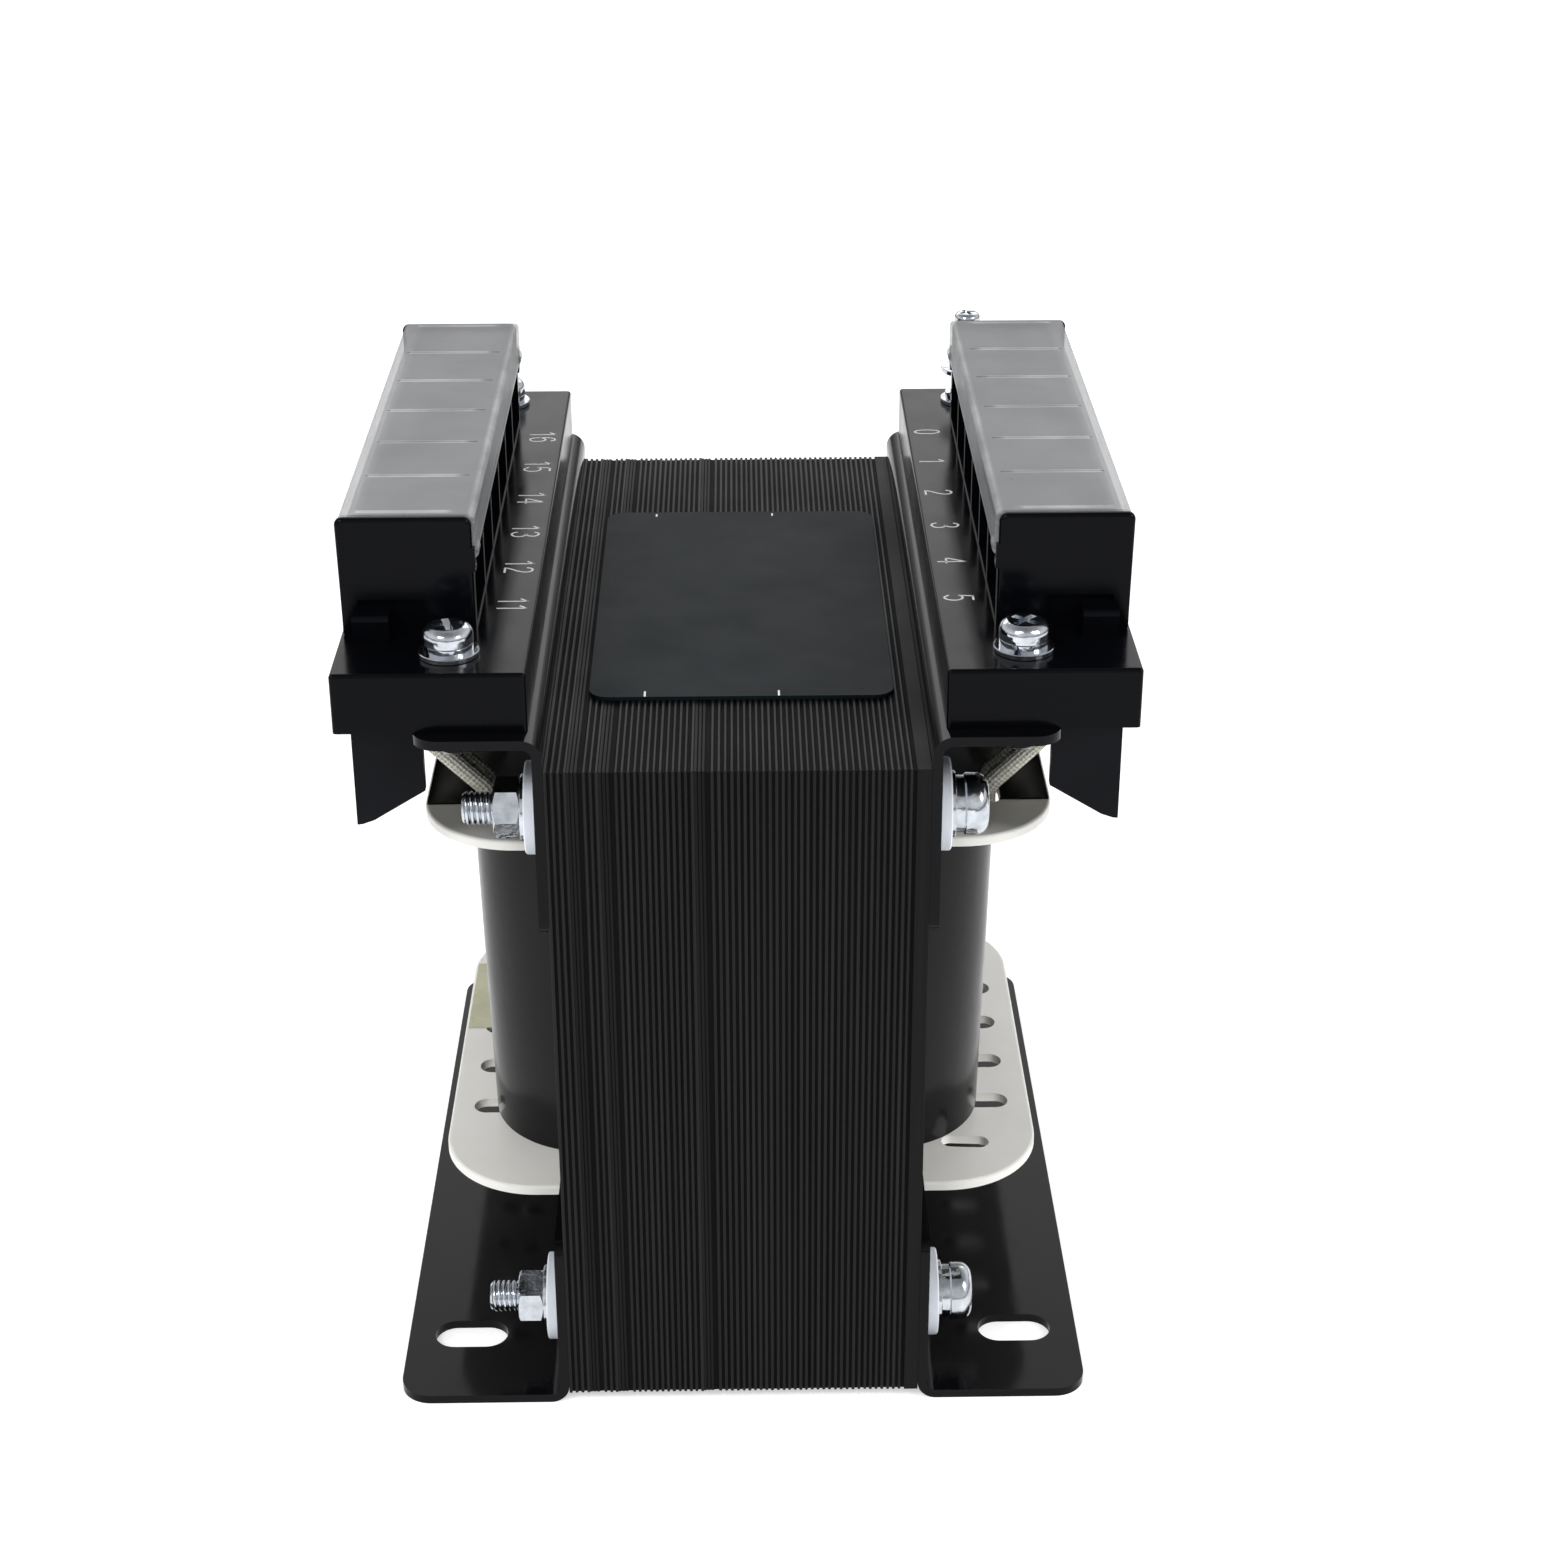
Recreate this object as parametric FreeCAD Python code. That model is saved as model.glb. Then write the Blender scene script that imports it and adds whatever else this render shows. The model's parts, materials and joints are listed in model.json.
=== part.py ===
import FreeCAD, Part
import math
import os

# Open-frame control transformer with two six-way terminal blocks.
# Units mm, +Z up, origin on the mounting plane under the middle of the feet.
# X runs across the stack (left and right blocks), Y runs along the blocks.

V = FreeCAD.Vector

# ---------------------------------------------------------------- dimensions
FOOT_T = 1.5                      # bracket plate thickness
Z0 = 1.8                          # underside of the core above the mounting plane
A = 22.2                          # lamination leg width
STACK = 56.0                      # stack height, along X
CORE_Y = 6.0 * A                  # 133.2
CORE_Z = 5.0 * A                  # 111.0
SX = STACK / 2.0
CY = CORE_Y / 2.0
Z_E = Z0 + 4.0 * A                # E meets I
Z_TOP = Z0 + CORE_Z
BOLT_Y = 2.5 * A                  # 55.5
BOLT_ZL = Z0 + A / 2.0            # 12.9
BOLT_ZU = Z0 + 4.5 * A            # 101.7
CORE_HOLE_R = 3.5

BEND_R = 3.0                      # outer bend radius of the brackets
SHELF_Z = 117.8                   # top of the upper bracket shelf
SHELF_X = 46.7
FOOT_X = 55.3
FLANGE_LO = 85.6                  # lower end of the upper bracket legs
FLANGE_HI = 30.0                  # upper end of the foot bracket legs
LEG_Y = 44.7                      # inner end of the bracket legs
SLOT_X, SLOT_Y, SLOT_L, SLOT_W = 45.0, 50.5, 12.0, 7.0

BOB_Z = (24.5, 26.1, 88.4, 90.0)  # flange faces
BOB_X, BOB_Y = 49.6, 43.9
BOB_R = (16.0, 15.0)              # corner radii of the lower and the upper flange
TUBE_IN = (28.3, 22.5)
TUBE_OUT = (30.0, 24.1)
COIL_OUT = (39.3, 32.6, 15.0)
WRAP = ((41.3, 34.0, 17.0, -0.7), (42.2, 34.7, 13.2, -0.7))   # wrap at its lower and upper end
COIL_IN = (30.0, 24.1, 1.6)

BASE_X = (30.05, 58.0)
BASE_Y = 63.8
BASE_Z = (117.8, 127.0)
BLK_X = (37.7, 57.7)
BLK_Y = 48.0
BLK_Z = 144.6
WALL = 2.4
PITCH = 15.2
RIB_T = 1.6
RIB_X = 38.2
PAD_Z = 128.8
CELLS = [(-2.5 + i) * PITCH for i in range(6)]
RIBS = [(-2.0 + i) * PITCH for i in range(5)]

PIV_X, PIV_Z = 38.6, 139.1        # cover hinge line
STEP_Z = 137.4                    # step inside the end walls that stops the open cover
PIN_R = 0.7
EYE_R = 0.75
SCREW_X = 45.6                    # terminal screw line
LEAD_X = 51.5                     # vertical run of the leads
LEAD_X0 = 39.4                    # where the leads leave the coil
LEAD_Y0 = [-30.0, -26.4, -5.0, 5.0, 26.4, 30.0]
WIRE_R, SLV_R, SLV_RI = 0.9, 1.5, 0.95

HS_X, HS_Y = 41.5, 56.3           # housing screws


# ------------------------------------------------------------------- helpers
def box(x0, x1, y0, y1, z0, z1):
    return Part.makeBox(x1 - x0, y1 - y0, z1 - z0, V(x0, y0, z0))


def cyl(r, h, p, d):
    return Part.makeCylinder(r, h, V(*p), V(*d))


def poly(pts):
    return Part.Face(Part.makePolygon([V(*p) for p in pts] + [V(*pts[0])]))


def rrect_wire(hx, hy, r, z, cx=0.0, cy=0.0):
    pts = []
    es = []
    c = [(cx + hx - r, cy + hy - r, 0), (cx - hx + r, cy + hy - r, 90),
         (cx - hx + r, cy - hy + r, 180), (cx + hx - r, cy - hy + r, 270)]
    for px, py, a0 in c:
        p = [V(px + r * math.cos(math.radians(a0 + k)), py + r * math.sin(math.radians(a0 + k)), z)
             for k in (0, 45, 90)]
        pts.append(p)
    for i in range(4):
        es.append(Part.Arc(*pts[i]).toShape())
        a, b = pts[i][2], pts[(i + 1) % 4][0]
        if (b - a).Length > 1e-6:
            es.append(Part.LineSegment(a, b).toShape())
    return Part.Wire(es)


def rrect(hx, hy, r, z0, z1, cx=0.0, cy=0.0):
    return Part.Face(rrect_wire(hx, hy, r, z0, cx, cy)).extrude(V(0, 0, z1 - z0))


def slot_x(cx, cy, length, width, z0, z1, ang=0.0):
    s = rrect(length / 2.0, width / 2.0, width / 2.0 - 0.001, z0, z1)
    s.rotate(V(0, 0, 0), V(0, 0, 1), ang)
    s.translate(V(cx, cy, 0))
    return s


def fillet_where(shape, r, test):
    es = []
    for e in shape.Edges:
        b = e.BoundBox
        if test(e, b):
            es.append(e)
    return shape.makeFillet(r, es) if es else shape


def mirror_x(s):
    return s.mirror(V(0, 0, 0), V(1, 0, 0))


def place(s, x, y, z):
    c = s.copy()
    c.translate(V(x, y, z))
    return c


def axis_x(s, sign):
    # a fastener modelled along +Z turned to point along +X or -X
    c = s.copy()
    c.rotate(V(0, 0, 0), V(0, 1, 0), 90.0 if sign > 0 else -90.0)
    return c


def hex_nut(af, h, bore, turn=0.0):
    rc = af / math.sqrt(3.0)
    pts = [(rc * math.cos(math.radians(60 * k + turn)), rc * math.sin(math.radians(60 * k + turn)), 0)
           for k in range(6)]
    n = poly(pts).extrude(V(0, 0, h))
    c = (rc - af / 2.0) * math.tan(math.radians(30)) + 0.12
    prof = Part.Face(Part.makePolygon([V(0, 0, 0), V(af / 2.0 - 0.1, 0, 0), V(rc + 0.05, 0, c), V(rc + 0.05, 0, h - c),
                                       V(af / 2.0 - 0.1, 0, h), V(0, 0, h), V(0, 0, 0)]))
    n = n.common(prof.revolve(V(0, 0, 0), V(0, 0, 1), 360))
    return n.cut(Part.makeCylinder(bore, h + 2, V(0, 0, -1)))


def washer(ro, ri, h, ch=0.12):
    w = Part.makeCylinder(ro, h)
    w = w.makeChamfer(ch, [e for e in w.Edges if isinstance(e.Curve, Part.Circle)])
    return w.cut(Part.makeCylinder(ri, h + 2, V(0, 0, -1)))


def spring_washer(ro, ri, h, turn=0.0):
    w = Part.makeCylinder(ro, h).cut(Part.makeCylinder(ri, h + 2, V(0, 0, -1)))
    g = box(ri - 0.6, ro + 1, -0.45, 0.45, -1, h + 1)
    g.rotate(V(0, 0, h / 2.0), V(1, 0, 0), 25)
    w = w.cut(g)
    w.rotate(V(0, 0, 0), V(0, 0, 1), turn)
    return w


def pan_screw(rh, hh, rs, ls, rec, turn=0.0, tip=0.5):
    # head from z=0 up to hh, shank from 0 down to -ls
    p = [V(0, 0, 0), V(rh - 0.15, 0, 0), V(rh, 0, 0.25), V(rh, 0, hh * 0.45)]
    edges = [Part.LineSegment(p[i], p[i + 1]).toShape() for i in range(3)]
    q = V(rh * 0.52, 0, hh * 0.965)
    m = V(rh * 0.885, 0, hh * 0.80)
    edges.append(Part.Arc(p[3], m, q).toShape())
    edges.append(Part.LineSegment(q, V(0, 0, hh)).toShape())
    edges.append(Part.LineSegment(V(0, 0, hh), V(0, 0, 0)).toShape())
    head = Part.Face(Part.Wire(edges)).revolve(V(0, 0, 0), V(0, 0, 1), 360)
    w = rec * 0.24
    d = hh * 0.62
    for k in (0, 90):
        t = Part.Face(Part.makePolygon([V(-rec / 2, 0, hh + 1), V(rec / 2, 0, hh + 1), V(rec / 2, 0, hh - 0.15),
                                        V(rec * 0.22, 0, hh - d), V(-rec * 0.22, 0, hh - d), V(-rec / 2, 0, hh - 0.15),
                                        V(-rec / 2, 0, hh + 1)])).extrude(V(0, w, 0))
        t.translate(V(0, -w / 2, 0))
        t.rotate(V(0, 0, 0), V(0, 0, 1), k + turn)
        head = head.cut(t)
    sh = Part.makeCylinder(rs, ls - tip, V(0, 0, -ls + tip))
    cone = Part.makeCone(rs - tip, rs, tip, V(0, 0, -ls))
    return head.fuse(sh).fuse(cone).removeSplitter()


def thread_root(s, r_root, r_old, z0, z1):
    # the shank is turned down to the thread root between z0 and z1
    ring = Part.makeCylinder(r_old + 0.5, z1 - z0, V(0, 0, z0)).cut(Part.makeCylinder(r_root, z1 - z0, V(0, 0, z0)))
    return s.cut(ring)


def save(name, shape):
    os.makedirs("parts", exist_ok=True)
    shape.exportStep("parts/%s.step" % name)
    sol = shape.Solids
    bad = [i for i, s in enumerate(sol) if not s.isValid() or s.Volume <= 0]
    b = shape.BoundBox
    print("%-26s solids %2d vol %10.1f  x %.2f %.2f  y %.2f %.2f  z %.2f %.2f %s" % (
        name, len(sol), sum(s.Volume for s in sol), b.XMin, b.XMax, b.YMin, b.YMax, b.ZMin, b.ZMax,
        "BAD" if bad or not sol else ""))


def comp(items):
    out = []
    for i in items:
        out.extend(i.Solids)
    return Part.makeCompound(out)


os.makedirs("parts", exist_ok=True)

# ------------------------------------------------------------ laminated core
def bolt_holes(s, zs, r):
    for y in (-BOLT_Y, BOLT_Y):
        for z in zs:
            s = s.cut(cyl(r, 80, (-40, y, z), (1, 0, 0)))
    return s


e = box(-SX, SX, -CY, CY, Z0, Z_E)
for s in (-1, 1):
    y0, y1 = sorted((s * A, s * 2 * A))
    e = e.cut(box(-SX - 1, SX + 1, y0, y1, Z0 + A, Z_E + 1))
core_e = bolt_holes(e, (BOLT_ZL,), CORE_HOLE_R)
core_i = bolt_holes(box(-SX, SX, -CY, CY, Z_E, Z_TOP), (BOLT_ZU,), CORE_HOLE_R)
save("core_e_stack", core_e)
save("core_i_stack", core_i)

# -------------------------------------------------------------------- bobbin
def lead_slots(sx, z0, z1):
    # the two middle leads have a slot each, the outer ones share one in pairs
    out = [slot_x(sx * 39.6, y, 4.0, 3.5, z0, z1) for y in LEAD_Y0[2:4]]
    for y in (-28.2, 28.2):
        out.append(rrect(2.0, 3.6, 1.5, z0, z1, sx * 39.6, y))
    return out


flo = rrect(BOB_X, BOB_Y, BOB_R[0], BOB_Z[0], BOB_Z[1])
fhi = rrect(BOB_X, BOB_Y, BOB_R[1], BOB_Z[2], BOB_Z[3])
flo = fillet_where(flo, 0.5, lambda ed, b: b.ZLength < 0.01 and abs(b.ZMin - BOB_Z[1]) < 0.01)
fhi = fillet_where(fhi, 0.5, lambda ed, b: b.ZLength < 0.01 and abs(b.ZMin - BOB_Z[3]) < 0.01)
tube = rrect(TUBE_OUT[0], TUBE_OUT[1], COIL_IN[2], BOB_Z[0], BOB_Z[3])
bob = flo.fuse(fhi).fuse(tube)
bob = bob.cut(box(-TUBE_IN[0], TUBE_IN[0], -TUBE_IN[1], TUBE_IN[1], 0, 120))
for sx in (-1, 1):
    for y in (-19.3, -6.4, 6.7, 18.8):
        bob = bob.cut(slot_x(sx * 41.6, y, 8.6, 4.4, BOB_Z[0] - 1, BOB_Z[1] + 1))
    for hole in lead_slots(sx, BOB_Z[2] - 1, BOB_Z[3] + 1):
        bob = bob.cut(hole)
bob = bob.cut(slot_x(37.6, -31.9, 8.0, 3.4, BOB_Z[0] - 1, BOB_Z[1] + 1, -4.0))
bob = bob.cut(slot_x(-37.6, 31.9, 8.0, 3.4, BOB_Z[0] - 1, BOB_Z[1] + 1, -4.0))
bob = bob.removeSplitter()
save("bobbin", bob)


# ---------------------------------------------------------------------- coil
def layer(t0, t1):
    def at(t):
        return [COIL_IN[i] + (COIL_OUT[i] - COIL_IN[i]) * t for i in range(3)]
    o, i = at(t1), at(t0)
    return rrect(o[0], o[1], o[2], BOB_Z[1], BOB_Z[2]).cut(rrect(i[0], i[1], i[2], BOB_Z[1] - 1, BOB_Z[2] + 1))


save("primary_winding", layer(0.0, 0.50))
save("interwinding_insulation", layer(0.50, 0.545))
save("secondary_winding", layer(0.545, 1.0))
# the wrap is a little fuller at its upper end, as the coil is
wrap = Part.makeLoft([rrect_wire(w[0], w[1], w[2], z, w[3]) for w, z in zip(WRAP, (BOB_Z[1], BOB_Z[2]))], True, True)
wrap = wrap.cut(rrect(COIL_OUT[0], COIL_OUT[1], COIL_OUT[2], BOB_Z[1] - 1, BOB_Z[2] + 1))
save("coil_wrap", wrap)

# ------------------------------------------------------------------ brackets
def bracket_profile(x_out, z_flange_end, z_plate, sign):
    # leg from z_flange_end to the bend, plate outwards; sign +1: plate on top
    cx = SX + BEND_R
    cz = z_plate - sign * BEND_R
    ro, ri = BEND_R, BEND_R - FOOT_T
    c45 = math.cos(math.radians(45))

    def P(x, z):
        return V(x, -CY, z)
    p = [P(SX, z_flange_end), P(SX, cz), P(cx, z_plate), P(x_out, z_plate), P(x_out, z_plate - sign * FOOT_T),
         P(cx, z_plate - sign * FOOT_T), P(SX + FOOT_T, cz), P(SX + FOOT_T, z_flange_end)]
    es = [Part.LineSegment(p[0], p[1]).toShape(),
          Part.Arc(p[1], P(cx - ro * c45, cz + sign * ro * c45), p[2]).toShape(),
          Part.LineSegment(p[2], p[3]).toShape(), Part.LineSegment(p[3], p[4]).toShape(),
          Part.LineSegment(p[4], p[5]).toShape(),
          Part.Arc(p[5], P(cx - ri * c45, cz + sign * ri * c45), p[6]).toShape(),
          Part.LineSegment(p[6], p[7]).toShape(), Part.LineSegment(p[7], p[0]).toShape()]
    return Part.Face(Part.Wire(es)).extrude(V(0, 2 * CY, 0))


def round_plan(s, x_out, r, z_lo, z_hi):
    return fillet_where(s, r, lambda ed, b: b.XLength < 0.01 and b.YLength < 0.01 and abs(b.XMin - x_out) < 0.02
                        and b.ZMin > z_lo and b.ZMax < z_hi)


def leg_corners(s, z_end, r):
    return fillet_where(s, r, lambda ed, b: b.ZLength < 0.01 and b.YLength < 0.01 and abs(b.ZMin - z_end) < 0.02
                        and abs(b.XLength - FOOT_T) < 0.02)


def make_upper():
    s = bracket_profile(SHELF_X, FLANGE_LO, SHELF_Z, 1)
    s = s.cut(box(20, SX + FOOT_T + 0.5, -LEG_Y, LEG_Y, FLANGE_LO - 1, 92.0))
    s = round_plan(s, SHELF_X, 4.0, SHELF_Z - 3, SHELF_Z + 1)
    s = leg_corners(s, FLANGE_LO, 2.2)
    s = leg_corners(s, 92.0, 2.5)
    s = bolt_holes(s, (BOLT_ZU,), CORE_HOLE_R)
    for y in (-HS_Y, HS_Y):
        s = s.cut(cyl(2.2, 20, (HS_X, y, 110), (0, 0, 1)))
    return s.removeSplitter()


def make_foot():
    s = bracket_profile(FOOT_X, FLANGE_HI, 0.0, -1)
    s = s.cut(box(20, SX + FOOT_T + 0.5, -LEG_Y, LEG_Y, 23.0, FLANGE_HI + 1))
    s = round_plan(s, FOOT_X, 5.0, -1, 3)
    s = leg_corners(s, FLANGE_HI, 2.2)
    s = leg_corners(s, 23.0, 2.5)
    s = bolt_holes(s, (BOLT_ZL,), CORE_HOLE_R)
    for y in (-SLOT_Y, SLOT_Y):
        s = s.cut(slot_x(SLOT_X, y, SLOT_L, SLOT_W, -2, 5))
    return s.removeSplitter()


up = make_upper()
ft = make_foot()
save("upper_bracket_right", up)
save("upper_bracket_left", mirror_x(up))
save("foot_bracket_right", ft)
save("foot_bracket_left", mirror_x(ft))

# ------------------------------------------------------------- through bolts
X_BR = SX + FOOT_T                 # outer face of the bracket legs, 29.5
INS_T, FLAT_T, SPR_T, NUT_T = 2.0, 0.7, 1.3, 4.0
bolts, nuts, springs, flats, ins, sleeves = [], [], [], [], [], []
bolt_len = 33.5 + 40.9
for y in (-BOLT_Y, BOLT_Y):
    for z, t in ((BOLT_ZL, 20.0), (BOLT_ZU, 50.0)):
        b = thread_root(pan_screw(4.65, 3.8, 2.5, bolt_len, 5.2, t), 2.1, 2.5, -bolt_len + 0.35, -(33.5 + 36.25))
        bolts.append(place(axis_x(b, 1), 33.5, y, z))
        nuts.append(place(axis_x(hex_nut(8.0, NUT_T, 2.55, 5.0 if z < 50 else 25.0), -1), -(X_BR + INS_T + FLAT_T), y, z))
        springs.append(place(axis_x(spring_washer(4.3, 2.6, SPR_T, t + 60), 1), X_BR + INS_T + FLAT_T, y, z))
        for sg in (-1, 1):
            ins.append(place(axis_x(washer(7.0, 2.65, INS_T, 0.2), sg), sg * X_BR, y, z))
            flats.append(place(axis_x(washer(5.0, 2.65, FLAT_T, 0.1), sg), sg * (X_BR + INS_T), y, z))
        sleeves.append(cyl(3.45, 2 * X_BR, (-X_BR, y, z), (1, 0, 0)).cut(cyl(2.6, 80, (-40, y, z), (1, 0, 0))))
save("through_bolts", comp(bolts))
save("through_bolt_nuts", comp(nuts))
save("bolt_spring_washers", comp(springs))
save("bolt_flat_washers", comp(flats))
save("insulating_washers", comp(ins))
save("bolt_sleeves", comp(sleeves))


# ---------------------------------------------------------- terminal housing
def make_housing():
    s = box(BASE_X[0], BASE_X[1], -BASE_Y, BASE_Y, BASE_Z[0], BASE_Z[1])
    s = fillet_where(s, 0.6, lambda ed, b: (b.XLength < 0.01 and b.YLength < 0.01)
                     or (b.ZLength < 0.01 and abs(b.ZMin - BASE_Z[1]) < 0.01))
    x0, x1 = BLK_X
    xi = x1 - WALL
    yi = BLK_Y - WALL
    # floor pads of the cells
    s = s.fuse(box(RIB_X, xi + 0.5, -yi - 0.5, yi + 0.5, BASE_Z[1] - 0.5, 127.6))
    s = s.fuse(box(40.2, xi + 0.5, -yi - 0.5, yi + 0.5, BASE_Z[1] - 0.5, PAD_Z))
    # outer wall
    s = s.fuse(box(xi, x1, -BLK_Y, BLK_Y, BASE_Z[1] - 0.5, 138.4))
    # end walls, thinned above for the cover
    for sy in (-1, 1):
        a, b = sorted((sy * yi, sy * BLK_Y))
        w = poly([V(38.2, a, BASE_Z[1] - 0.5), V(57.75, a, BASE_Z[1] - 0.5), V(58.0, a, BLK_Z), V(38.2, a, BLK_Z)])
        w = w.extrude(V(0, b - a, 0))
        for xe, r in ((38.2, 1.3), (58.0, 1.1)):
            w = fillet_where(w, r, lambda ed, bb: bb.ZLength < 0.01 and bb.XLength < 0.01
                             and abs(bb.ZMin - BLK_Z) < 0.01 and abs(bb.XMin - xe) < 0.01)
        w = fillet_where(w, 0.6, lambda ed, bb: bb.YLength < 0.01 and abs(abs(bb.YMin) - BLK_Y) < 0.01
                         and bb.ZMax > 130.0)
        # boss that carries the hinge pin
        w = w.fuse(box(37.85, 39.5, a, b, 136.2, 140.0))
        a, b = sorted((sy * (yi - 1), sy * 47.1))
        w = w.cut(box(x0 - 1, x1 + 1, a, b, STEP_Z, BLK_Z + 1))
        # guide recess and snap nose outside, near the base
        a, b = sorted((sy * 47.3, sy * 50.0))
        w = w.cut(box(45.6, 56.2, a, b, 127.2, 132.0))
        a, b = sorted((sy * 47.2, sy * 52.0))
        n = box(50.5, 55.8, a, b, 126.9, 131.0)
        n = fillet_where(n, 0.8, lambda ed, bb: bb.ZLength < 0.01 and bb.YLength < 0.01
                         and abs(abs(bb.YMin) - 52.0) < 0.01 and bb.ZMin > 130.5)
        w = w.fuse(n)
        # hinge pin
        a = 45.2 if sy > 0 else -47.3
        w = w.fuse(cyl(PIN_R, 2.1, (PIV_X, a, PIV_Z), (0, 1, 0)))
        s = s.fuse(w)
    # ribs between the cells
    for y in RIBS:
        s = s.fuse(box(RIB_X, xi + 0.5, y - RIB_T / 2, y + RIB_T / 2, BASE_Z[1] - 0.5, 137.0))
        s = s.fuse(box(40.6, xi, y - RIB_T / 2, y + RIB_T / 2, 136.0, 142.5))
    # guard around the rising leads
    g = box(47.2, 57.8, -48.0, 48.0, 95.0, BASE_Z[0] + 0.5)
    g = g.cut(box(46.0, 56.3, -46.5, 46.5, 90, 130))
    wedge = poly([V(47.0, -60, 90), V(58.5, -60, 90), V(58.5, -60, 95.15), V(57.0, -60, 95.3), V(55.2, -60, 95.95),
                  V(47.0, -60, 101.0)]).extrude(V(0, 120, 0))
    g = g.cut(wedge)
    s = s.fuse(g)
    # lead chamber under the cells
    s = s.cut(box(49.0, 56.3, -46.4, 46.4, BASE_Z[0] - 1, 125.2))
    for y in CELLS:
        s = s.cut(cyl(1.7, 12, (LEAD_X, y, 120), (0, 0, 1)))
        s = s.cut(cyl(2.2, 20, (SCREW_X, y, 120.6), (0, 0, 1)))
    for y in (-HS_Y, HS_Y):
        s = s.cut(cyl(2.2, 20, (HS_X, y, 110), (0, 0, 1)))
    return s.removeSplitter()


hs = make_housing()
save("terminal_housing_right", hs)
save("terminal_housing_left", mirror_x(hs))


# --------------------------------------------------------------- flip covers
def make_cover():
    y = 46.8
    zt, zb = 144.8, 143.8

    def long_edges(z):
        return lambda ed, b: b.XLength < 0.01 and b.ZLength < 0.01 and b.YLength > 80 and abs(b.ZMin - z) < 0.01
    s = fillet_where(box(37.7, 57.5, -y, y, 138.2, zt), 0.8, long_edges(zt))
    s = s.cut(fillet_where(box(38.7, 56.5, -y - 1, y + 1, 130.0, zb), 0.3, long_edges(zb)))
    s = s.cut(box(56.0, 58.0, -y - 1, y + 1, 138.0, 138.8))
    for sy in (-1, 1):
        a = 44.3 if sy > 0 else -46.8
        s = s.fuse(cyl(1.3, 2.5, (PIV_X, a, PIV_Z), (0, 1, 0)))
    for sy in (-1, 1):
        a = 44.9 if sy > 0 else -47.4
        s = s.cut(cyl(EYE_R, 2.5, (PIV_X, a, PIV_Z), (0, 1, 0)))
    # fine lines over the ribs
    for yy in RIBS:
        s = s.cut(box(39.8, 55.4, yy - 0.25, yy + 0.25, zt - 0.15, zt + 1))
    return s.removeSplitter()


cv = make_cover()
save("terminal_cover_right", cv)
save("terminal_cover_left", mirror_x(cv))

# ---------------------------------------------------------- terminal hardware
PL_T = 1.0
plates, tscrews, clamps = [], [], []
for y in CELLS:
    p = box(41.6, 54.6, y - 5.0, y + 5.0, PAD_Z, PAD_Z + PL_T)
    p = fillet_where(p, 1.0, lambda ed, b: b.XLength < 0.01 and b.YLength < 0.01)
    p = p.cut(cyl(2.05, 5, (SCREW_X, y, PAD_Z - 1), (0, 0, 1)))
    p = p.cut(cyl(WIRE_R + 0.05, 5, (LEAD_X, y, PAD_Z - 1), (0, 0, 1)))
    plates.append(p)
    c = box(42.0, 49.2, y - 4.2, y + 4.2, PAD_Z + PL_T, PAD_Z + PL_T + 1.0)
    c = fillet_where(c, 0.8, lambda ed, b: b.XLength < 0.01 and b.YLength < 0.01)
    c = c.cut(cyl(2.1, 5, (SCREW_X, y, PAD_Z), (0, 0, 1)))
    clamps.append(c)
    tscrews.append(place(pan_screw(3.5, 2.5, 2.0, 9.6, 4.0, 30.0), SCREW_X, y, PAD_Z + PL_T + 1.0))
for nm, items in (("terminal_plates", plates), ("clamp_washers", clamps), ("terminal_screws", tscrews)):
    c = comp(items)
    save(nm + "_right", c)
    save(nm + "_left", mirror_x(c))

# ------------------------------------------------- screws holding the blocks
FW_T, SW_T = 0.8, 1.0
hz = BASE_Z[1]
hs_screws, hs_spr, hs_flat, hs_nut = [], [], [], []
tn = {(-1, -1): 15.0, (-1, 1): 62.0, (1, -1): 47.0, (1, 1): 10.0}
for sx in (-1, 1):
    for sy in (-1, 1):
        x, y, t = sx * HS_X, sy * HS_Y, tn[(sx, sy)]
        hs_flat.append(place(washer(4.45, 2.15, FW_T, 0.1), x, y, hz))
        hs_spr.append(place(spring_washer(3.6, 2.15, SW_T, t + 200), x, y, hz + FW_T))
        hs_nut.append(place(hex_nut(7.0, 3.2, 2.05, t), x, y, SHELF_Z - FOOT_T - 3.2))
        if (sx, sy) != (1, 1):
            hs_screws.append(place(pan_screw(3.7, 2.9, 2.0, 17.3, 4.4, t), x, y, hz + FW_T + SW_T))
EZ = 141.9
earth_screw = pan_screw(2.3, 1.6, 2.0, 30.4, 2.9, 25.0)
earth_screw = thread_root(earth_screw, 1.66, 2.0, 133.5 - EZ, -0.1)
earth_screw = place(earth_screw, HS_X, HS_Y, EZ)
earth_spacer = place(washer(2.65, 2.05, 3.9, 0.1), HS_X, HS_Y, 128.8)
hs_flat.append(place(washer(4.45, 2.15, FW_T, 0.1), HS_X, HS_Y, 132.7))
save("housing_screws", comp(hs_screws))
save("earth_screw", earth_screw)
save("earth_spacer", earth_spacer)
save("housing_spring_washers", comp(hs_spr))
save("housing_flat_washers", comp(hs_flat))
save("housing_nuts", comp(hs_nut))


# --------------------------------------------------------------------- leads
def route(y0, y1):
    return [V(LEAD_X0, y0, BOB_Z[2]), V(LEAD_X0, y0, 92.0), V(LEAD_X, y0, 104.0), V(LEAD_X, y1, 117.0),
            V(LEAD_X, y1, 131.0)]


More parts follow.
